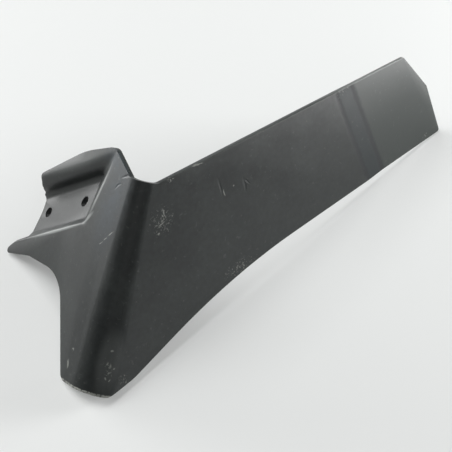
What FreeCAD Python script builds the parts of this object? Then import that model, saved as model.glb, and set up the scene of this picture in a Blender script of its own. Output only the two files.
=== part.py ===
import FreeCAD, Part
import math
import os
import Sketcher
from FreeCAD import Vector

# Cultivator wing share, left hand, pressed from one steel plate and lying on the floor.
# The plate is folded once: the fan is the short leg, the blade is the long leg.
# A channel for the tine foot is pressed into the fan, with a curled lip behind it.
# Shape axes: X runs up the fold from the toe, Y runs out along the fan, Z is the fan's outward normal.

os.makedirs("parts", exist_ok=True)
doc = FreeCAD.newDocument("wing_share")
sheet = doc.addObject("Spreadsheet::Sheet", "Sizes")

SIZES = [
    # plate and fold
    ("plate_thickness", 6.0),
    ("bend_angle", 88.0),
    ("fold_radius_toe", 34.0),
    ("fold_radius_top", 16.0),
    ("fold_length", 217.0),
    ("sweep_angle", 51.0),
    # fan outline, along the fold and out from it
    ("toe_edge_along", 2.0),
    ("toe_corner_out", 50.0),
    ("fan_throat_along", 98.5),
    ("fan_throat_out", 89.5),
    ("horn_waist_along", 98.8),
    ("horn_waist_out", 150.0),
    ("horn_tip_along", 88.6),
    ("horn_tip_out", 195.5),
    ("horn_crown_along", 97.0),
    ("horn_crown_out", 189.7),
    ("horn_shoulder_along", 107.5),
    ("horn_shoulder_out", 178.0),
    ("channel_end_low_along", 117.0),
    ("channel_end_low_out", 161.0),
    ("channel_end_mid_along", 147.0),
    ("channel_end_mid_out", 162.5),
    ("channel_end_radius", 40.0),
    ("channel_end_high_along", 161.0),
    ("channel_end_high_out", 169.0),
    ("lip_end_low_along", 170.0),
    ("lip_end_low_out", 160.5),
    ("lip_end_inner_along", 177.0),
    ("lip_end_inner_out", 158.0),
    ("lip_end_outer_along", 185.0),
    ("lip_end_outer_out", 160.0),
    ("lip_bow_along", 225.0),
    ("lip_bow_out", 93.0),
    ("lip_top_along", 239.0),
    ("lip_top_out", 49.5),
    ("lip_heel_along", 217.6),
    ("lip_heel_out", 17.0),
    ("toe_corner_radius", 9.0),
    ("fan_throat_radius", 38.0),
    ("horn_waist_radius", 30.0),
    ("horn_radius", 3.0),
    ("lip_end_radius", 5.0),
    ("lip_bow_radius", 120.0),
    ("lip_top_radius", 12.0),
    # channel for the tine foot
    ("channel_angle", 64.6),
    ("channel_corner_along", 158.7),
    ("channel_corner_out", 68.7),
    ("channel_width", 45.0),
    ("channel_tilt", 19.2),
    ("channel_step", 3.9),
    ("front_wall_slope", 45.0),
    ("end_wall_slope", 37.0),
    ("end_wall_skew", 42.7),
    ("rear_wall_slope", 71.5),
    ("corner_radius", 12.0),
    ("foot_radius", 7.0),
    ("foot_radius_under", 12.0),
    ("rim_radius", 3.5),
    ("lip_curl_radius", 13.0),
    ("under_rim_radius", 3.0),
    # bolt holes
    ("bolt_hole_diameter", 11.0),
    ("bolt_pitch", 63.0),
    ("bolt_from_corner", 15.5),
    ("bolt_across", 24.2),
    # blade outline, along the leading edge and across the blade
    ("toe_run_start", 19.3),
    ("toe_run_drop", 13.8),
    ("toe_run_end", 52.0),
    ("toe_run_end_drop", 13.2),
    ("edge_hollow_along", 195.0),
    ("edge_hollow_height", 15.0),
    ("blade_length", 518.4),
    ("tip_corner_height", -2.2),
    ("tip_shoulder_along", 513.3),
    ("tip_shoulder_height", 60.0),
    ("tip_rear_along", 488.5),
    ("tip_rear_height", 109.8),
    ("blade_root_along", 153.2),
    ("blade_root_height", 155.2),
    ("toe_run_radius", 12.0),
    ("toe_bend_radius", 60.0),
    ("edge_hollow_radius", 700.0),
    ("tip_corner_radius", 3.0),
    ("tip_shoulder_radius", 8.0),
    ("tip_rear_radius", 3.0),
    ("blade_root_radius", 12.0),
    # joggle near the tip
    ("joggle_skew", 6.7),
    ("joggle_start", 395.8),
    ("joggle_run", 23.9),
    ("joggle_step", 1.5),
    ("tip_thickness", 4.0),
]

for row, (name, value) in enumerate(SIZES, start=1):
    sheet.set(f"A{row}", name)
    sheet.set(f"B{row}", str(value))
    sheet.setAlias(f"B{row}", name)
doc.recompute()


def size(name):
    return float(sheet.get(name))


def rad(name):
    return math.radians(size(name))


thick = size("plate_thickness")
bend = rad("bend_angle")
sweep = rad("sweep_angle")
MARGIN = 6.0
REACH = 300.0
LEAD = 20.0
RUN_OUT = 14.0
CHANNEL_REACH = 125.0
CLOSE = 0.01
SEAM = 2.0
CORNER_REACH = 12.0
EDGE_POINTS = 20

# The blade's own axes: along its leading edge, across the blade, and its outward normal.
down = Vector(0, -math.cos(bend), -math.sin(bend))
blade_along = Vector(1, 0, 0) * math.cos(sweep) + down * math.sin(sweep)
blade_across = Vector(1, 0, 0) * math.sin(sweep) - down * math.cos(sweep)
blade_normal = blade_along.cross(blade_across)

# The channel's own axes: up the channel, across it to the lip, and the fan's normal.
channel_up = Vector(math.cos(rad("channel_angle")), -math.sin(rad("channel_angle")), 0)
channel_across = Vector(math.sin(rad("channel_angle")), math.cos(rad("channel_angle")), 0)
channel_corner = Vector(size("channel_corner_along"), size("channel_corner_out"), 0)


def frame_placement(origin, x_axis, y_axis):
    z_axis = x_axis.cross(y_axis)
    return FreeCAD.Placement(origin, FreeCAD.Rotation(x_axis, y_axis, z_axis, "XYZ"))


blade_frame = frame_placement(Vector(0, 0, 0), blade_along, blade_across)
channel_frame = frame_placement(channel_corner, channel_up, channel_across)


def new_body(name):
    body = doc.addObject("PartDesign::Body", name)
    body.Label = name
    return body


def origin_plane(body, role):
    return next(item for item in body.Origin.OriginFeatures if item.Role == role)


def new_sketch(body, name, role, offset=FreeCAD.Placement()):
    sketch = body.newObject("Sketcher::SketchObject", name)
    sketch.AttachmentSupport = [(origin_plane(body, role), "")]
    sketch.MapMode = "FlatFace"
    sketch.AttachmentOffset = offset
    return sketch


def polygon(sketch, corners):
    """Closed polygon. Each corner is two entries, either a size's name, a signed name or a number."""
    def number(entry):
        if not isinstance(entry, str):
            return float(entry)
        return -size(entry[1:]) if entry.startswith("-") else size(entry)

    points = [Vector(number(x), number(y), 0) for x, y in corners]
    count = len(points)
    for index in range(count):
        sketch.addGeometry(Part.LineSegment(points[index], points[(index + 1) % count]), False)
    for index in range(count):
        sketch.addConstraint(Sketcher.Constraint("Coincident", index, 2, (index + 1) % count, 1))
    for index, (x, y) in enumerate(corners):
        for kind, entry in (("DistanceX", x), ("DistanceY", y)):
            value = number(entry)
            place = sketch.addConstraint(Sketcher.Constraint(kind, -1, 1, index, 1, value))
            if isinstance(entry, str):
                formula = entry.replace("-", "-Sizes.") if entry.startswith("-") else "Sizes." + entry
                sketch.setExpression(f"Constraints[{place}]", formula)
    return points


def edges_at(shape, points, tolerance=0.05):
    """Names of the straight edges that stand on the given points."""
    names = []
    for index, edge in enumerate(shape.Edges, start=1):
        if len(edge.Vertexes) != 2:
            continue
        line = edge.Vertexes[1].Point - edge.Vertexes[0].Point
        for point in points:
            away = (point - edge.Vertexes[0].Point).cross(line)
            if away.Length < tolerance * line.Length:
                names.append(f"Edge{index}")
    return names


def round_corners(body, base, frame, points, corners):
    """Rounds the upright edges of a pad, one fillet for each corner that names a radius."""
    feature = base
    for number, (point, (x, y, radius_name)) in enumerate(zip(points, corners), start=1):
        if radius_name is None:
            continue
        doc.recompute()
        on_edge = frame.multVec(point)
        axis = frame.Rotation.multVec(Vector(0, 0, 1))
        names = [name for name in edges_at(feature.Shape, [on_edge])
                 if abs(edge_direction(feature.Shape, name).dot(axis)) > 0.999]
        fillet = body.newObject("PartDesign::Fillet", f"{body.Name}_round_{number}")
        fillet.Base = (feature, names)
        fillet.setExpression("Radius", f"Sizes.{radius_name}")
        feature = fillet
    doc.recompute()
    return feature


def edge_direction(shape, name):
    edge = shape.getElement(name)
    return (edge.Vertexes[1].Point - edge.Vertexes[0].Point).normalize()


def fold_run(along):
    """Distance from the fold's sharp line to where the bend starts."""
    growth = (size("fold_radius_toe") - size("fold_radius_top")) / size("fold_length")
    return (size("fold_radius_toe") - growth * along) * math.tan(bend / 2)


def fold_section(body, name, along):
    """Section of the bend across the fold, from the fan's side round to the blade's side."""
    place = FreeCAD.Placement(Vector(0, 0, along), FreeCAD.Rotation())
    sketch = new_sketch(body, name, "YZ_Plane", place)
    run = fold_run(along)
    radius = run / math.tan(bend / 2)
    toward_fold = Vector(-run, radius, 0).normalize()
    fan_way = Vector(0, 1, 0)
    blade_way = Vector(-math.sin(bend), math.cos(bend), 0)
    centre = Vector(run, -radius, 0)
    arcs = []
    for level in (radius, radius - thick):
        ends = [centre + way * level for way in (fan_way, toward_fold, blade_way)]
        arcs.append(ends)
    sketch.addGeometry(Part.Arc(*arcs[0]), False)
    sketch.addGeometry(Part.LineSegment(arcs[0][2], arcs[1][2]), False)
    sketch.addGeometry(Part.Arc(*reversed(arcs[1])), False)
    sketch.addGeometry(Part.LineSegment(arcs[1][0], arcs[0][0]), False)
    return sketch


def make_blank():
    """The folded plate, with a bend that opens towards the toe and a joggled tip."""
    body = new_body("folded_blank")
    top = size("lip_top_along") + RUN_OUT
    fan_place = FreeCAD.Placement(Vector(0, 0, -thick), FreeCAD.Rotation())
    fan_plan = new_sketch(body, "fan_plan", "XY_Plane", fan_place)
    polygon(fan_plan, [(-LEAD, fold_run(-LEAD)), (top, fold_run(top)), (top, REACH), (-LEAD, REACH)])
    fan_plate = body.newObject("PartDesign::Pad", "fan_plate")
    fan_plate.Profile = fan_plan
    fan_plate.setExpression("Length", "Sizes.plate_thickness")
    doc.recompute()
    blade_place = FreeCAD.Placement(-blade_normal * thick, blade_frame.Rotation)
    blade_plan = new_sketch(body, "blade_plan", "XY_Plane", blade_place)
    ends = [(-LEAD, fold_run(-LEAD)), (top, fold_run(top)), (2 * REACH, fold_run(top)),
            (2 * REACH, 2 * REACH), (-LEAD, 2 * REACH)]
    points = [blade_point(along, below) for along, below in ends]
    polygon(blade_plan, [(point.x, point.y) for point in points])
    blade_plate = body.newObject("PartDesign::Pad", "blade_plate")
    blade_plate.Profile = blade_plan
    blade_plate.setExpression("Length", "Sizes.plate_thickness")
    doc.recompute()
    fold = body.newObject("PartDesign::AdditiveLoft", "fold_loft")
    fold.Profile = fold_section(body, "section_toe", -LEAD)
    fold.Sections = [fold_section(body, "section_top", top)]
    fold.Ruled = True
    doc.recompute()

    # The last stretch is taken off and put back one joggle step lower.
    skew = rad("joggle_skew")
    joggle_along = blade_along * math.cos(skew) + blade_across * math.sin(skew)
    joggle_across = blade_across * math.cos(skew) - blade_along * math.sin(skew)
    side = frame_placement(joggle_across * REACH, joggle_along, blade_normal)
    start = size("joggle_start")
    end = size("blade_length") + REACH
    middle = frame_placement(Vector(0, 0, 0), joggle_along, blade_normal)
    removed = new_sketch(body, "tip_section", "XY_Plane", middle)
    polygon(removed, [("joggle_start", -REACH), (end, -REACH), (end, REACH), ("joggle_start", REACH)])
    cut = body.newObject("PartDesign::Pocket", "tip_cut")
    cut.Profile = removed
    cut.Length = 2 * REACH
    cut.Midplane = True
    doc.recompute()
    stepped = new_sketch(body, "joggle_section", "XY_Plane", side)
    run_end = start + size("joggle_run")
    step = -size("joggle_step")
    under = step - size("tip_thickness")
    polygon(stepped, [("joggle_start", 0), (run_end, step), (end, step), (end, under),
                      (run_end, under), ("joggle_start", "-plate_thickness")])
    tip = body.newObject("PartDesign::Pad", "joggled_tip")
    tip.Profile = stepped
    tip.Length = 2 * REACH
    doc.recompute()
    body.Tip = tip
    return body


def make_fan_outline():
    """Upright block with the fan's outline, clear of the blade."""
    body = new_body("fan_outline")
    base = FreeCAD.Placement(Vector(0, 0, -REACH / 4), FreeCAD.Rotation())
    sketch = new_sketch(body, "fan_corners", "XY_Plane", base)
    corners = [
        ("toe_edge_along", thick + SEAM, None),
        ("fold_length", thick + SEAM, None),
        ("lip_heel_along", "lip_heel_out", None),
        ("lip_top_along", "lip_top_out", "lip_top_radius"),
        ("lip_bow_along", "lip_bow_out", "lip_bow_radius"),
        ("lip_end_outer_along", "lip_end_outer_out", "lip_end_radius"),
        ("lip_end_inner_along", "lip_end_inner_out", None),
        ("lip_end_low_along", "lip_end_low_out", None),
        ("channel_end_high_along", "channel_end_high_out", None),
        ("channel_end_mid_along", "channel_end_mid_out", "channel_end_radius"),
        ("channel_end_low_along", "channel_end_low_out", None),
        ("horn_shoulder_along", "horn_shoulder_out", None),
        ("horn_crown_along", "horn_crown_out", "horn_radius"),
        ("horn_tip_along", "horn_tip_out", "horn_radius"),
        ("horn_waist_along", "horn_waist_out", "horn_waist_radius"),
        ("fan_throat_along", "fan_throat_out", "fan_throat_radius"),
        ("toe_edge_along", "toe_corner_out", "toe_corner_radius"),
    ]
    points = polygon(sketch, [(x, y) for x, y, radius in corners])
    pad = body.newObject("PartDesign::Pad", "fan_block")
    pad.Profile = sketch
    pad.Length = REACH / 2
    round_corners(body, pad, base, points, corners)
    return body


def make_blade_outline():
    """Block along the blade's normal with the blade's outline."""
    body = new_body("blade_outline")
    base = FreeCAD.Placement(blade_normal * (-thick - 2 * SEAM), blade_frame.Rotation)
    sketch = new_sketch(body, "blade_corners", "XY_Plane", base)
    toe = blade_point(size("toe_edge_along"), -MARGIN)
    top = blade_point(size("fold_length"), -MARGIN)
    corners = [
        (toe.x, toe.y, None),
        ("toe_run_start", "-toe_run_drop", "toe_run_radius"),
        ("toe_run_end", "-toe_run_end_drop", "toe_bend_radius"),
        ("edge_hollow_along", "edge_hollow_height", "edge_hollow_radius"),
        ("blade_length", "tip_corner_height", "tip_corner_radius"),
        ("tip_shoulder_along", "tip_shoulder_height", "tip_shoulder_radius"),
        ("tip_rear_along", "tip_rear_height", "tip_rear_radius"),
        ("blade_root_along", "blade_root_height", "blade_root_radius"),
        (top.x, top.y, None),
    ]
    points = polygon(sketch, [(x, y) for x, y, radius in corners])
    pad = body.newObject("PartDesign::Pad", "blade_block")
    pad.Profile = sketch
    pad.Length = REACH / 5
    round_corners(body, pad, base, points, corners)
    return body


def blade_point(along, below_fold):
    """Point of the blade's plane, given along the fold and below it."""
    return Vector(along * math.cos(sweep) + below_fold * math.sin(sweep),
                  along * math.sin(sweep) - below_fold * math.cos(sweep), 0)


def meeting_point(*planes):
    """Point where three planes meet, each given by a point and a normal."""
    normals = [normal for point, normal in planes]
    levels = [point.dot(normal) for point, normal in planes]
    whole = normals[0].dot(normals[1].cross(normals[2]))
    total = normals[1].cross(normals[2]) * levels[0]
    total += normals[2].cross(normals[0]) * levels[1]
    total += normals[0].cross(normals[1]) * levels[2]
    return total / whole


def channel_block(lid_height, offset, radius, label):
    """Block that fills the channel, or with an offset the block that its plate fills."""
    tilt, front, rear = rad("channel_tilt"), rad("front_wall_slope"), rad("rear_wall_slope")
    ending, skew = rad("end_wall_slope"), rad("end_wall_skew")
    floor = [Vector(0, 0, -size("channel_step")), Vector(0, math.sin(tilt), math.cos(tilt))]
    front_wall = [Vector(0, 0, 0), Vector(0, math.sin(front), math.cos(front))]
    rear_wall = [Vector(0, rear_rim, 0), Vector(0, -math.sin(rear), math.cos(rear))]
    facing = Vector(-math.cos(skew), math.sin(skew), 0)
    end_wall = [Vector(0, 0, 0), facing * math.sin(ending) + Vector(0, 0, math.cos(ending))]
    open_end = [Vector(-CHANNEL_REACH, 0, 0), Vector(1, 0, 0)]
    walls = [front_wall, end_wall, rear_wall, open_end]
    moved = [[point - normal * offset, normal] for point, normal in walls]
    bottom = [floor[0] - floor[1] * offset, floor[1]]
    lid = [Vector(0, 0, lid_height), Vector(0, 0, 1)]
    rings = []
    for level in (lid, bottom):
        rings.append([meeting_point(level, moved[index - 1], moved[index]) for index in range(4)])
    block = block_between(*rings)
    front_corner = [edge for edge in block.Edges if runs_between(edge, rings[0][1], rings[1][1])]
    block = block.makeFillet(size("corner_radius") + offset, front_corner)
    seats = [edge for edge in block.Edges if lies_on(edge, bottom) and not lies_on(edge, moved[3])]
    block = block.makeFillet(radius, seats)
    feature = doc.addObject("Part::Feature", label)
    feature.Shape = block
    feature.Placement = channel_frame
    return feature


def block_between(upper, lower):
    """Solid between two rings of points with as many flat sides."""
    faces = [Part.Face(Part.makePolygon(ring + ring[:1])) for ring in (upper, lower)]
    for index in range(len(upper)):
        after = (index + 1) % len(upper)
        side = [upper[index], upper[after], lower[after], lower[index], upper[index]]
        faces.append(Part.Face(Part.makePolygon(side)))
    return Part.Solid(Part.Shell(faces))


def runs_between(edge, low, high):
    ends = [vertex.Point for vertex in edge.Vertexes]
    return all(min((end - low).Length, (end - high).Length) < 0.01 for end in ends) and len(ends) == 2


def lies_on(edge, plane):
    point, normal = plane
    ends = [vertex.Point for vertex in edge.Vertexes]
    middle = edge.valueAt((edge.FirstParameter + edge.LastParameter) / 2)
    return all(abs((end - point).dot(normal)) < 0.01 for end in ends + [middle])


def combine(kind, name, first, second):
    result = doc.addObject(kind, name)
    result.Base = first
    result.Tool = second
    doc.recompute()
    return result


def rim_edges(shape, level, block):
    """Edges where a face of the fan meets the channel's walls, as edge number and middle point."""
    found = []
    for number, edge in enumerate(shape.Edges, start=1):
        middle = edge.valueAt((edge.FirstParameter + edge.LastParameter) / 2)
        places = [vertex.Point for vertex in edge.Vertexes] + [middle]
        if any(abs(place.z - level) > CLOSE for place in places):
            continue
        if any(block.distToShape(Part.Vertex(place))[0] > CLOSE for place in places):
            continue
        local = channel_frame.inverse().multVec(middle)
        if local.x > 1 - CHANNEL_REACH:
            found.append((number, local))
    return found


def round_edges(name, base, edges):
    """Fillet over numbered edges, each with its own radius."""
    fillet = doc.addObject("Part::Fillet", name)
    fillet.Base = base
    fillet.Edges = [(number, radius, radius) for number, radius in edges]
    doc.recompute()
    return fillet


def bolt_hole(name, along):
    """Round cutter through the channel's floor, square to it."""
    cutter = doc.addObject("Part::Cylinder", name)
    cutter.setExpression("Radius", "Sizes.bolt_hole_diameter / 2")
    cutter.Height = 4 * thick
    across = size("bolt_across")
    tilt = rad("channel_tilt")
    floor_normal = Vector(0, math.sin(tilt), math.cos(tilt))
    on_floor = Vector(along, across, -size("channel_step") - step_slope * across)
    local = FreeCAD.Placement(on_floor - floor_normal * 2 * thick, FreeCAD.Rotation(Vector(0, 0, 1), floor_normal))
    cutter.Placement = channel_frame.multiply(local)
    return cutter


def lowest_near(points, corner, upward):
    """Lowest of the points round one corner of the share."""
    near = [point for point in points if (point - corner).Length < CORNER_REACH]
    return min(near, key=lambda point: point.dot(upward))


def lying_placement(shape):
    """Placement that rests the share on its toe, tip and horn, with the leading edge along X."""
    toe = Vector(size("toe_edge_along"), size("toe_corner_out"), -thick)
    tip = blade_frame.multVec(Vector(size("blade_length"), size("tip_corner_height"), -thick))
    horn = Vector(size("horn_tip_along"), size("horn_tip_out"), -thick)
    supports = [toe, tip, horn]
    edge_points = [point for edge in shape.Edges for point in edge.discretize(EDGE_POINTS)]
    for attempt in range(3):
        upward = (supports[1] - supports[0]).cross(supports[2] - supports[0]).normalize()
        if upward.z < 0:
            upward = -upward
        supports = [lowest_near(edge_points, corner, upward) for corner in (toe, tip, horn)]
    heading = tip - blade_frame.multVec(Vector(0, 0, -thick))
    heading = (heading - upward * heading.dot(upward)).normalize()
    turn = frame_placement(Vector(0, 0, 0), heading, upward.cross(heading)).inverse()
    turned = shape.copy()
    turned.Placement = turn.multiply(shape.Placement)
    box = turned.optimalBoundingBox(False)
    middle = Vector((box.XMin + box.XMax) / 2, (box.YMin + box.YMax) / 2, box.ZMin)
    return FreeCAD.Placement(-middle, FreeCAD.Rotation()).multiply(turn)


step_slope = math.tan(rad("channel_tilt"))
depth_at_wall = size("channel_step") + step_slope * size("channel_width")
rear_rim = size("channel_width") + depth_at_wall / math.tan(rad("rear_wall_slope"))

blank = make_blank()
fan_outline = make_fan_outline()
blade_outline = make_blade_outline()
outside = channel_block(-thick / 2, thick, size("foot_radius_under"), "channel_outside")
inside = channel_block(MARGIN, 0.0, size("foot_radius"), "channel_inside")
outline = combine("Part::Fuse", "whole_outline", fan_outline, blade_outline)
swollen = combine("Part::Fuse", "plate_with_channel", blank, outside)
pressed = combine("Part::Cut", "pressed_plate", swollen, inside)

# The rims turn over softly, most of all where the lip curls up behind the channel.
rims = []
for number, local in rim_edges(pressed.Shape, 0, inside.Shape):
    at_lip = local.y > rear_rim - 1
    rims.append((number, size("lip_curl_radius") if at_lip else size("rim_radius")))
rimmed = round_edges("round_rims", pressed, rims)
under_rims = [(number, size("under_rim_radius"))
              for number, local in rim_edges(rimmed.Shape, -thick, outside.Shape)]
rimmed_both = round_edges("round_rims_below", rimmed, under_rims)
trimmed = combine("Part::Common", "trimmed_plate", rimmed_both, outline)
holes = combine("Part::Fuse", "bolt_holes", bolt_hole("upper_hole", -size("bolt_from_corner")),
                bolt_hole("lower_hole", -size("bolt_from_corner") - size("bolt_pitch")))
share = combine("Part::Cut", "wing_share", trimmed, holes)
share.Placement = lying_placement(share.Shape)
doc.recompute()

for item in doc.Objects:
    if "Invalid" in item.State or "Error" in item.State:
        raise RuntimeError(f"{item.Label} did not rebuild")
if share.Shape.isNull() or not share.Shape.isValid():
    raise RuntimeError("the share's shape is not valid")
share.Shape.exportStep("parts/wing_share.step")
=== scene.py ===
import math

import bmesh
import bpy
from mathutils import Matrix, Vector


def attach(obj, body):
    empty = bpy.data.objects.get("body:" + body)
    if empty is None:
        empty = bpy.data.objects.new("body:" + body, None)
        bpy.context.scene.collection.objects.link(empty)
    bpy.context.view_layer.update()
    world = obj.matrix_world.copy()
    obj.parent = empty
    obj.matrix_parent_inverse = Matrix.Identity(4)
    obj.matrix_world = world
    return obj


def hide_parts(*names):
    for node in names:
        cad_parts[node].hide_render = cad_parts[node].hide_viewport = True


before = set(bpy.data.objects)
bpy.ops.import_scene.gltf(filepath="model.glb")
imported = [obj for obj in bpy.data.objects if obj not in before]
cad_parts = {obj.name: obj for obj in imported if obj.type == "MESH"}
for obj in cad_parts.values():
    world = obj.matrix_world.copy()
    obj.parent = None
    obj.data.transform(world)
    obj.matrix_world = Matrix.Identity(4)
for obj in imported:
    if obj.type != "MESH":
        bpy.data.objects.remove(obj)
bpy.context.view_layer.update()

# Cultivator wing share lying on a pale studio floor: satin dark grey paint over pressed steel plate.
# Sizes are in millimetres and are turned to metres by MM. Those of the floor and the lamps are in metres.
MM = 0.001

# The share's own axes as it lies: X up the fold from the toe, Y out along the fan, Z the fan's
# outward side. SWEEP is the blade's angle to the fold. The joggle is the step across the blade near its tip.
FOLD_START = Vector((-258.619, -100.705, 21.698)) * MM
UP_THE_FOLD = Vector((0.652008, 0.342009, 0.676695))
OUT_ALONG_FAN = Vector((-0.042990, 0.907727, -0.417354))
SWEEP = math.radians(51.0)
BEND = math.radians(88.0)
JOGGLE_SKEW = math.radians(6.7)
JOGGLE_START = 395.8
JOGGLE_END = JOGGLE_START + 23.9

fan_normal = UP_THE_FOLD.cross(OUT_ALONG_FAN)
down_blade = -OUT_ALONG_FAN * math.cos(BEND) - fan_normal * math.sin(BEND)
along_edge = UP_THE_FOLD * math.cos(SWEEP) + down_blade * math.sin(SWEEP)
across_blade = UP_THE_FOLD * math.sin(SWEEP) - down_blade * math.cos(SWEEP)
blade_normal = along_edge.cross(across_blade)
along_joggle = along_edge * math.cos(JOGGLE_SKEW) + across_blade * math.sin(JOGGLE_SKEW)


def axes(x_axis, y_axis):
    """Matrix that turns a face's own millimetre directions to the frame's."""
    return Matrix((x_axis, y_axis, x_axis.cross(y_axis))).transposed()


FAN = axes(UP_THE_FOLD, OUT_ALONG_FAN)
BLADE = axes(along_edge, across_blade)
JOGGLE = axes(along_joggle, blade_normal.cross(along_joggle))


def linear(hex_colour):
    """sRGB hex colour as linear red, green, blue and alpha."""
    parts = [int(hex_colour[i:i + 2], 16) / 255 for i in (1, 3, 5)]
    return [p / 12.92 if p <= 0.04045 else ((p + 0.055) / 1.055) ** 2.4 for p in parts] + [1.0]


def add(tree, kind, links=None, values=None, **settings):
    """A node with its settings, its unlinked values and its incoming links."""
    made = tree.nodes.new(kind)
    for name, value in settings.items():
        setattr(made, name, value)
    for socket, value in (values or {}).items():
        made.inputs[socket].default_value = value
    for socket, source in (links or {}).items():
        tree.links.new(source, made.inputs[socket])
    return made


def deselect():
    bpy.ops.object.select_all(action="DESELECT")


def on_face(tree, place, face, centre, half, angle=0.0):
    """Place on a face in units of an ellipse's half sizes, from its centre and turned with it."""
    turn = face @ Matrix.Rotation(math.radians(angle), 3, "Z")
    spot = FOLD_START + face @ Vector(centre) * MM
    values = {"Location": spot, "Rotation": turn.to_euler(), "Scale": Vector(half) * MM}
    near = add(tree, "ShaderNodeMapping", {"Vector": place}, values, vector_type="TEXTURE")
    return near.outputs["Vector"]


def ellipse(tree, place, face, centre, half, angle=0.0, depth=4.0):
    """Mask that falls from 1 in the middle of an ellipse on a face to 0 at its rim."""
    near = on_face(tree, place, face, Vector(centre).to_3d(), (*half, depth), angle)
    far = add(tree, "ShaderNodeVectorMath", {0: near}, operation="LENGTH")
    mask = add(tree, "ShaderNodeMapRange", {"Value": far.outputs["Value"]},
               {"From Min": 1.0, "From Max": 0.0})
    return mask.outputs["Result"]


def strongest(tree, masks):
    """The largest of several masks."""
    result = masks[0]
    for mask in masks[1:]:
        result = add(tree, "ShaderNodeMath", {0: result, 1: mask}, operation="MAXIMUM").outputs["Value"]
    return result


# Worn places, and places painted with light or shade, in millimetres on the fan or the blade: centre, half
# sizes, angle and for some the half depth.
CHIPPED = [
    (BLADE, (206.0, 17.0), (24.0, 11.0), -8.0),
    (BLADE, (143.0, 119.0), (16.0, 19.0), 0.0),
    (BLADE, (34.0, 13.0, -2.5), (11.0, 7.0), 51.0),
    (BLADE, (41.0, -7.0), (9.0, 8.0), 0.0),
    (BLADE, (392.0, 122.0), (17.0, 5.0), -8.0),
    (BLADE, (167.0, 152.5), (6.0, 4.0), -8.0),
    (BLADE, (496.0, 4.0), (7.0, 5.0), 0.0),
    (FAN, (37.0, 41.0), (3.5, 3.5), 0.0),
    (FAN, (234.0, 38.0), (5.0, 6.0), 0.0),
]
SCRATCHED = [
    (BLADE, (147.6, 125.0), (1.1, 8.5), 0.0),
    (BLADE, (141.0, 116.3), (7.5, 1.1), 10.0),
    (BLADE, (134.6, 109.5), (2.2, 1.6), 30.0),
    (BLADE, (217.6, 103.5), (0.9, 5.5), -3.0),
    (BLADE, (230.6, 104.3), (1.4, 1.4), 0.0),
    (BLADE, (43.6, 28.2, -2.9), (1.7, 1.5), 0.0),
    (BLADE, (34.3, 18.7, -3.9), (2.8, 1.1), 30.0),
    (BLADE, (36.0, 15.4, -2.3), (3.0, 1.0), 65.0),
    (BLADE, (37.5, 10.9, -1.0), (1.7, 1.1), 0.0),
    (BLADE, (31.5, 9.3, -2.4), (2.2, 1.2), 20.0),
    (BLADE, (26.3, 5.6, -3.4), (2.6, 1.1), 70.0),
    (BLADE, (28.6, 2.1, -1.6), (2.4, 1.0), 15.0),
    (BLADE, (200.0, 148.4), (9.0, 1.0), -16.0),
    (FAN, (21.0, 43.7), (7.0, 2.0), 3.0),
    (FAN, (37.5, 40.6), (1.6, 2.2), 0.0),
    (FAN, (159.3, 24.9), (6.2, 0.9), -48.0),
    (FAN, (152.7, 31.0), (4.6, 0.8), -35.0),
    (FAN, (147.4, 36.5), (4.6, 0.7), -56.0),
    (FAN, (234.2, 39.0), (4.2, 0.9), 52.0),
]
DENTED = [
    (BLADE, (215.6, 112.0), (1.8, 12.0), -3.0),
    (BLADE, (243.4, 97.5), (1.8, 10.0), -6.0),
    (BLADE, (246.5, 99.0), (1.6, 6.0), 30.0),
    (FAN, (217.0, 22.0), (2.0, 8.0), 24.0),
    (FAN, (205.0, 31.0), (1.5, 6.0), 40.0),
]
# Painted highlights along the pressed rims and the tip's trailing edge.
CREST_HIGHLIGHTS = [
    (FAN, (136.6, 113.4), (54.0, 2.4), -64.6),
    (FAN, (163.4, 66.4), (13.0, 2.6), -40.0),
    (FAN, (196.0, 56.5), (34.0, 2.8), -16.0),
    (BLADE, (458.0, 114.2, -4.4), (115.0, 2.0), -7.7, 8.0),
]
# Paler grey: painted light on the toe's bend and along the lip, thin paint along the blade's trailing edge.
THIN_PAINT_AND_LIGHT = [
    (FAN, (38.0, 2.0, -16.0), (42.0, 15.0), 0.0, 16.0),
    (FAN, (212.0, 102.0, -4.0), (66.0, 10.0), -64.3, 10.0),
    (BLADE, (332.0, 131.2, -4.0), (240.0, 2.6), -7.7, 8.0),
]
DUSTY = [
    (FAN, (160.0, 121.0, -12.0), (62.0, 31.0), -64.6, 14.0),
]
SCALED = [
    (FAN, (190.0, 33.0), (66.0, 24.0), -8.0),
    (FAN, (226.0, 40.0), (22.0, 30.0), 0.0),
]
RUBBED_EDGES = [
    (FAN, (3.0, 30.0), (9.0, 40.0), 0.0),
    (BLADE, (5.0, 8.0), (22.0, 30.0), 0.0),
    (BLADE, (196.0, 151.0), (46.0, 9.0), -8.0),
    (BLADE, (392.0, 122.5), (18.0, 9.0), -8.0),
    (BLADE, (497.0, 0.0), (9.0, 7.0), 0.0),
    (BLADE, (206.0, 12.0), (24.0, 10.0), 0.0),
]


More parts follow.
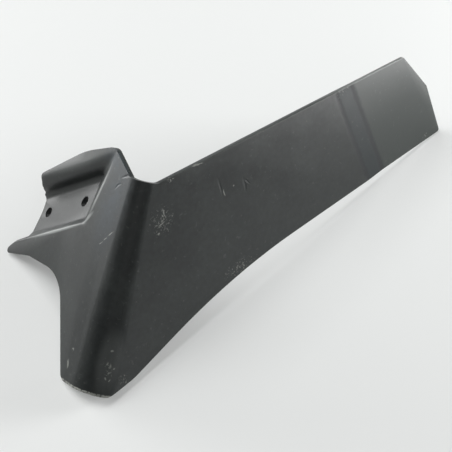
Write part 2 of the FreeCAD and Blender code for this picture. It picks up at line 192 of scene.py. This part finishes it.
def share_paint(name, on_edges):
    """Satin paint on scaled steel, chipped and scuffed. On the cut edges it is rubbed through as well."""
    finish = bpy.data.materials.new(name)
    finish.use_nodes = True
    tree = finish.node_tree
    shader = tree.nodes["Principled BSDF"]
    place = add(tree, "ShaderNodeTexCoord").outputs["Object"]

    # Cloudy tone some 40 mm across and scale specks some 5 mm across, as thin paint over hot-worked
    # plate shows.
    clouds = add(tree, "ShaderNodeTexNoise", {"Vector": place},
                 {"Scale": 25.0, "Detail": 5.0, "Roughness": 0.6})
    tone = add(tree, "ShaderNodeValToRGB", {"Fac": clouds.outputs["Fac"]})
    tone.color_ramp.elements[0].position = 0.3
    tone.color_ramp.elements[0].color = linear("#1d2020")
    tone.color_ramp.elements[1].position = 0.7
    tone.color_ramp.elements[1].color = linear("#262a29")
    scale_specks = add(tree, "ShaderNodeTexNoise", {"Vector": place}, {"Scale": 200.0, "Detail": 3.0})
    speckle = add(tree, "ShaderNodeMapRange", {"Value": scale_specks.outputs["Fac"]},
                  {"From Min": 0.3, "From Max": 0.7, "To Min": 0.86, "To Max": 1.16})
    grey = add(tree, "ShaderNodeVectorMath", {0: tone.outputs["Color"], "Scale": speckle.outputs["Result"]},
               operation="SCALE").outputs["Vector"]

    # Places strayed by up to 1 mm, so that no mark has a drawn outline.
    wander = add(tree, "ShaderNodeTexNoise", {"Vector": place}, {"Scale": 130.0, "Detail": 3.0})
    strayed = add(tree, "ShaderNodeVectorMath", {0: wander.outputs["Color"]},
                  {1: (0.5, 0.5, 0.5)}, operation="SUBTRACT")
    strayed = add(tree, "ShaderNodeVectorMath", {0: strayed.outputs["Vector"], 2: place},
                  {1: (0.004, 0.004, 0.004)}, operation="MULTIPLY_ADD").outputs["Vector"]

    # Painted shade: the joggle's ramp between its two bend lines is painted a darker bluish grey.
    # The thin tip is a paler grey, partly its own greyer tone and partly painted light.
    along = add(tree, "ShaderNodeSeparateXYZ",
                {"Vector": on_face(tree, strayed, JOGGLE, (0.0, 0.0, 0.0), (1.0, 1.0, 1.0))}).outputs["X"]
    band_shade_from = add(tree, "ShaderNodeMapRange", {"Value": along},
                      {"From Min": JOGGLE_START - 3.0, "From Max": JOGGLE_START + 3.0},
                      interpolation_type="SMOOTHSTEP")
    band_end_and_lit_tip = add(tree, "ShaderNodeMapRange", {"Value": along},
                    {"From Min": JOGGLE_END - 2.0, "From Max": JOGGLE_END + 6.0},
                    interpolation_type="SMOOTHSTEP")
    joggle_band_shade = add(tree, "ShaderNodeMath", {0: band_shade_from.outputs["Result"], 1: band_end_and_lit_tip.outputs["Result"]},
               operation="SUBTRACT")
    grey = add(tree, "ShaderNodeMix", {0: band_end_and_lit_tip.outputs["Result"], 6: grey},
               {7: linear("#2b302e")}, data_type="RGBA").outputs[2]
    grey = add(tree, "ShaderNodeMix", {0: joggle_band_shade.outputs["Value"], 6: grey},
               {7: linear("#131c1e")}, data_type="RGBA").outputs[2]

    # Painted shade: dark lines along the joggle's two bends, which fade out 5 mm to either side.
    groove_shades = []
    for bend_line in (JOGGLE_START, JOGGLE_END):
        off = add(tree, "ShaderNodeMath", {0: along}, {1: bend_line}, operation="SUBTRACT")
        off = add(tree, "ShaderNodeMath", {0: off.outputs["Value"]}, operation="ABSOLUTE")
        line = add(tree, "ShaderNodeMapRange", {"Value": off.outputs["Value"]},
                   {"From Min": 5.0, "From Max": 0.8, "To Max": 0.85}, interpolation_type="SMOOTHSTEP")
        grey = add(tree, "ShaderNodeMix", {0: line.outputs["Result"], 6: grey},
                   {7: linear("#0e1316")}, data_type="RGBA").outputs[2]
        groove_shades.append(line.outputs["Result"])

    # Bluish mill scale shows beside the lip. A paler grey is painted where light falls: on the blade side of
    # the toe's bend and along the lip. Along the blade's trailing edge the same paler grey is thin paint.
    scaled = strongest(tree, [ellipse(tree, place, *mark) for mark in SCALED])
    scaled = add(tree, "ShaderNodeMath", {0: scaled, 1: scale_specks.outputs["Fac"]}, operation="MULTIPLY")
    scaled = add(tree, "ShaderNodeMapRange", {"Value": scaled.outputs["Value"]},
                 {"From Max": 0.5, "To Max": 0.8})
    grey = add(tree, "ShaderNodeMix", {0: scaled.outputs["Result"], 6: grey},
               {7: linear("#2b343a")}, data_type="RGBA").outputs[2]
    thin_paint_and_light = strongest(tree, [ellipse(tree, place, *mark) for mark in THIN_PAINT_AND_LIGHT])
    thin_paint_and_light = add(tree, "ShaderNodeMapRange", {"Value": thin_paint_and_light}, {"From Max": 0.6, "To Max": 0.75},
                  interpolation_type="SMOOTHSTEP")
    grey = add(tree, "ShaderNodeMix", {0: thin_paint_and_light.outputs["Result"], 6: grey},
               {7: linear("#474a49")}, data_type="RGBA").outputs[2]

    # Painted highlights: the pressed rims and the tip's trailing edge are painted a paler grey where they
    # catch the light.
    crest_highlights = strongest(tree, [ellipse(tree, place, *mark) for mark in CREST_HIGHLIGHTS])
    crest_highlight = add(tree, "ShaderNodeMapRange", {"Value": crest_highlights}, {"From Max": 0.6, "To Max": 0.9})
    grey = add(tree, "ShaderNodeMix", {0: crest_highlight.outputs["Result"], 6: grey},
               {7: linear("#777a78")}, data_type="RGBA").outputs[2]

    # Worn marks are broken up by flakes some 2 mm across.
    flakes = add(tree, "ShaderNodeTexNoise", {"Vector": place},
                 {"Scale": 420.0, "Detail": 3.0, "Roughness": 0.65})
    chips = strongest(tree, [ellipse(tree, place, *mark) for mark in CHIPPED])
    chipped = add(tree, "ShaderNodeMath", {0: chips, 2: flakes.outputs["Fac"]},
                  {1: 0.12}, operation="MULTIPLY_ADD")
    chipped = add(tree, "ShaderNodeMapRange", {"Value": chipped.outputs["Value"]},
                  {"From Min": 0.62, "From Max": 0.74, "To Max": 0.65})
    inside = add(tree, "ShaderNodeMapRange", {"Value": chips}, {"From Max": 0.25})
    chipped = add(tree, "ShaderNodeMath", {0: chipped.outputs["Result"], 1: inside.outputs["Result"]},
                  operation="MULTIPLY").outputs["Value"]
    lines = strongest(tree, [ellipse(tree, strayed, *mark) for mark in SCRATCHED])
    lines = add(tree, "ShaderNodeMath", {0: lines, 1: flakes.outputs["Fac"]}, operation="MULTIPLY")
    scratched = add(tree, "ShaderNodeMapRange", {"Value": lines.outputs["Value"]},
                    {"From Min": 0.08, "From Max": 0.42, "To Max": 0.8}).outputs["Result"]
    specks = add(tree, "ShaderNodeTexNoise", {"Vector": place},
                 {"Scale": 260.0, "Detail": 2.0, "Roughness": 0.4})
    specks = add(tree, "ShaderNodeMapRange", {"Value": specks.outputs["Fac"]},
                 {"From Min": 0.66, "From Max": 0.76, "To Max": 0.08}).outputs["Result"]
    worn = strongest(tree, [chipped, scratched, specks])
    from_toe = add(tree, "ShaderNodeSeparateXYZ",
                   {"Vector": on_face(tree, place, FAN, (0.0, 0.0, 0.0), (1.0, 1.0, 1.0))}).outputs["X"]
    toe_end = add(tree, "ShaderNodeMapRange", {"Value": from_toe}, {"From Min": 5.5, "From Max": 3.0})
    rubbed = [toe_end.outputs["Result"]]
    if on_edges:
        rubbed += [ellipse(tree, place, *mark) for mark in RUBBED_EDGES]
    rubbed = add(tree, "ShaderNodeMapRange", {"Value": strongest(tree, rubbed)},
                 {"From Max": 0.6, "To Max": 0.8})
    rubbed = add(tree, "ShaderNodeMath", {0: rubbed.outputs["Result"], 1: flakes.outputs["Fac"]},
                 operation="MULTIPLY")
    rubbed = add(tree, "ShaderNodeMapRange", {"Value": rubbed.outputs["Value"]},
                 {"From Min": 0.28, "From Max": 0.42})
    worn = strongest(tree, [worn, rubbed.outputs["Result"]])
    colour = add(tree, "ShaderNodeMix", {0: worn, 6: grey}, {7: linear("#8d8f89")}, data_type="RGBA")
    tree.links.new(colour.outputs[2], shader.inputs["Base Color"])

    # Satin gloss that dust and scuffs dull, over orange peel some 1.5 mm across and shallow dents.
    gloss = add(tree, "ShaderNodeMapRange", {"Value": clouds.outputs["Fac"]},
                {"From Min": 0.3, "From Max": 0.7, "To Min": 0.38, "To Max": 0.46})
    dulled = add(tree, "ShaderNodeMath", {0: joggle_band_shade.outputs["Value"], 2: gloss.outputs["Result"]},
                 {1: 0.12}, operation="MULTIPLY_ADD")
    dulled = add(tree, "ShaderNodeMath", {0: strongest(tree, groove_shades), 2: dulled.outputs["Value"]},
                 {1: 0.12}, operation="MULTIPLY_ADD")
    dusty = strongest(tree, [ellipse(tree, place, *mark) for mark in DUSTY])
    dusty = add(tree, "ShaderNodeMapRange", {"Value": dusty}, {"From Max": 0.5}).outputs["Result"]
    dulled = add(tree, "ShaderNodeMath", {0: dusty, 2: dulled.outputs["Value"]},
                 {1: 0.16}, operation="MULTIPLY_ADD")
    dulled = add(tree, "ShaderNodeMath", {0: worn, 2: dulled.outputs["Value"]},
                 {1: 0.2}, operation="MULTIPLY_ADD")
    tree.links.new(dulled.outputs["Value"], shader.inputs["Roughness"])
    peel = add(tree, "ShaderNodeTexNoise", {"Vector": place},
               {"Scale": 650.0, "Detail": 3.0, "Roughness": 0.6})
    dents = strongest(tree, [ellipse(tree, strayed, *mark) for mark in DENTED])
    relief = add(tree, "ShaderNodeMath", {0: dents, 2: peel.outputs["Fac"]},
                 {1: -6.0}, operation="MULTIPLY_ADD")
    relief = add(tree, "ShaderNodeMath", {0: scale_specks.outputs["Fac"], 2: relief.outputs["Value"]},
                 {1: 1.2}, operation="MULTIPLY_ADD")
    relief = add(tree, "ShaderNodeMath", {0: worn, 2: relief.outputs["Value"]},
                 {1: -1.0}, operation="MULTIPLY_ADD")
    relief = add(tree, "ShaderNodeMath", {0: strongest(tree, groove_shades), 2: relief.outputs["Value"]},
                 {1: -1.6}, operation="MULTIPLY_ADD")
    bump = add(tree, "ShaderNodeBump", {"Height": relief.outputs["Value"]},
               {"Strength": 0.5, "Distance": 0.08 * MM})
    tree.links.new(bump.outputs["Normal"], shader.inputs["Normal"])
    return finish


def cut_across(mesh, axis, first, last, step):
    """Cuts the mesh by even planes square to one of the fan's directions, from first to last."""
    for number in range(int((last - first) / step) + 1):
        everything = mesh.verts[:] + mesh.edges[:] + mesh.faces[:]
        plane = FOLD_START + axis * (first + number * step) * MM
        bmesh.ops.bisect_plane(mesh, geom=everything, dist=SAME_PLACE * MM, plane_co=plane, plane_no=axis)


def soften_spot(mesh, centre, reach, rounds):
    """Smooths the faces round a spot on the fan until they run into one another. The outline stays."""
    spot = FOLD_START + FAN @ Vector(centre) * MM
    for vert in mesh.verts:
        vert.tag = (vert.co - spot).length < reach * MM
    for face in mesh.faces:
        if abs(face.normal.dot(fan_normal)) < UPRIGHT:
            for vert in face.verts:
                vert.tag = False
    moving = [vert for vert in mesh.verts if vert.tag]
    for smoothing in range(rounds):
        bmesh.ops.smooth_vert(mesh, verts=moving, factor=0.5, use_axis_x=True, use_axis_y=True,
                              use_axis_z=True)


# The plate: the CAD solid with its edges softened as shearing, pressing and paint leave them.
EDGE_SOFTNESS = 1.3
# Distances under which points count as one, in the solid's mesh and on a cut.
SEAM = 0.02
SAME_PLACE = 0.01
# Sine of the tilt off the fan's normal under which a face counts as part of the cut outline.
UPRIGHT = 0.15
# Cuts round the channel's rear corner: direction, first, last and step.
CORNER_CUTS = [
    (UP_THE_FOLD, 152.0, 250.0, 2.4),
    (OUT_ALONG_FAN, 22.0, 96.0, 2.4),
    (fan_normal, -26.0, -2.0, 3.0),
]
# Spots of that corner that the press left round: centre on the fan, reach and smoothing rounds.
SOFT_SPOTS = [
    ((192.0, 60.0, -6.0), 40.0, 14),
    ((226.0, 56.0, -6.0), 27.0, 90),
]

plate_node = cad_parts["wing_share"]
deselect()
share = plate_node.copy()
share.data = plate_node.data.copy()
share.name = "painted_share"
bpy.context.scene.collection.objects.link(share)
share.parent = None
share.data.materials.clear()
share.data.materials.append(share_paint("satin_grey_paint_on_plate", False))
share.data.materials.append(share_paint("worn_grey_paint_on_cut_edges", True))
share.select_set(True)
bpy.context.view_layer.objects.active = share
bpy.ops.object.mode_set(mode="EDIT")
bpy.ops.mesh.select_all(action="SELECT")
bpy.ops.mesh.remove_doubles(threshold=SEAM * MM)
bpy.ops.mesh.dissolve_limited(angle_limit=math.radians(0.4))
bpy.ops.object.mode_set(mode="OBJECT")
bevel = share.modifiers.new("soft_edges", "BEVEL")
bevel.width = EDGE_SOFTNESS * MM
bevel.segments = 3
bevel.limit_method = "ANGLE"
bevel.angle_limit = math.radians(40)
bevel.use_clamp_overlap = True
bevel.material = 1
bpy.ops.object.modifier_apply(modifier="soft_edges")
mesh = bmesh.new()
mesh.from_mesh(share.data)
for axis, first, last, step in CORNER_CUTS:
    cut_across(mesh, axis, first, last, step)
for centre, reach, rounds in SOFT_SPOTS:
    soften_spot(mesh, centre, reach, rounds)
mesh.to_mesh(share.data)
mesh.free()
bpy.ops.object.shade_smooth_by_angle(angle=math.radians(35))
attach(share, "root")
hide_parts("wing_share")

# The camera stands where the photograph was taken from, with its picture upright.
CAMERA_PLACE = Vector((-470.959, -528.253, 960.563)) * MM
CAMERA_RIGHT = Vector((0.732575, -0.680675, -0.003894))
CAMERA_UP = Vector((0.557972, 0.597220, 0.576190))
FRAME_PIXELS = 452
FOCAL_PIXELS = 1080

eye = bpy.data.cameras.new("photo_camera")
eye.sensor_width = 36.0
eye.lens = eye.sensor_width * FOCAL_PIXELS / FRAME_PIXELS
camera = bpy.data.objects.new("photo_camera", eye)
bpy.context.scene.collection.objects.link(camera)
back = CAMERA_RIGHT.cross(CAMERA_UP)
turn = Matrix((CAMERA_RIGHT, CAMERA_UP, back)).transposed().to_4x4()
camera.matrix_world = Matrix.Translation(CAMERA_PLACE) @ turn
bpy.context.scene.camera = camera

# Pale studio floor. The camera and the gloss see it glow a little, so that shadows stay soft.
FLOOR_SIZE = 8.0
GLOW_SEEN = 0.2
GLOW_IN_GLOSS = 0.17

deselect()
bpy.ops.mesh.primitive_plane_add(size=FLOOR_SIZE, location=(0, 0, 0))
floor = bpy.context.active_object
floor.name = "studio_floor"
chalk = bpy.data.materials.new("matt_pale_floor")
chalk.use_nodes = True
chalk_tree = chalk.node_tree
chalk_shader = chalk_tree.nodes["Principled BSDF"]
chalk_shader.inputs["Base Color"].default_value = linear("#e6e8e7")
chalk_shader.inputs["Roughness"].default_value = 0.9
chalk_shader.inputs["Specular IOR Level"].default_value = 0.2
glow = add(chalk_tree, "ShaderNodeEmission", None, {"Color": linear("#f0f1f0"), "Strength": 1.0})
ray = add(chalk_tree, "ShaderNodeLightPath")
in_gloss = add(chalk_tree, "ShaderNodeMath", {0: ray.outputs["Is Glossy Ray"]},
               {1: GLOW_IN_GLOSS}, operation="MULTIPLY")
share_of_glow = add(chalk_tree, "ShaderNodeMath",
                    {0: ray.outputs["Is Camera Ray"], 2: in_gloss.outputs["Value"]},
                    {1: GLOW_SEEN}, operation="MULTIPLY_ADD")
both = add(chalk_tree, "ShaderNodeMixShader",
           {0: share_of_glow.outputs["Value"], 1: chalk_shader.outputs["BSDF"],
            2: glow.outputs["Emission"]})
chalk_tree.links.new(both.outputs["Shader"], chalk_tree.nodes["Material Output"].inputs["Surface"])
floor.data.materials.append(chalk)

# Lamps, placed in the picture's own directions: to the right, away from the viewer and up. The two windows
# stand low at the sides: the left one lights the fan and the channel, the right one the blade's tip.
picture_right = Vector((CAMERA_RIGHT.x, CAMERA_RIGHT.y, 0)).normalized()
picture_deep = Vector((0, 0, 1)).cross(picture_right)


def softbox(name, right, deep, up, wide, high, watts):
    """Rectangular lamp in metres from the share's middle, turned to the share."""
    lamp = bpy.data.lights.new(name, "AREA")
    lamp.shape = "RECTANGLE"
    lamp.size = wide
    lamp.size_y = high
    lamp.energy = watts
    spot = bpy.data.objects.new(name, lamp)
    bpy.context.scene.collection.objects.link(spot)
    spot.location = picture_right * right + picture_deep * deep + Vector((0, 0, up))
    aim = Vector((0, 0, 0.05)) - spot.location
    spot.rotation_euler = aim.to_track_quat("-Z", "Y").to_euler()


softbox("far_softbox", -1.05, 0.95, 2.6, 2.0, 2.0, 48.5)
softbox("left_softbox", -1.8, 0.0, 1.9, 2.0, 2.0, 18.0)
softbox("near_fill", 0.2, -1.6, 1.9, 2.0, 2.0, 7.0)
softbox("left_window", -2.1, 1.05, 0.42, 1.2, 0.8, 46.0)
softbox("right_window", 1.5, 0.36, 0.32, 0.6, 0.55, 32.0)

world = bpy.data.worlds.new("studio")
bpy.context.scene.world = world
world.use_nodes = True
sky = world.node_tree
sky_shader = sky.nodes["Background"]
sky_shader.inputs["Color"].default_value = linear("#ffffff")
sky_shader.inputs["Strength"].default_value = 0.02

bpy.context.scene.view_settings.view_transform = "Standard"
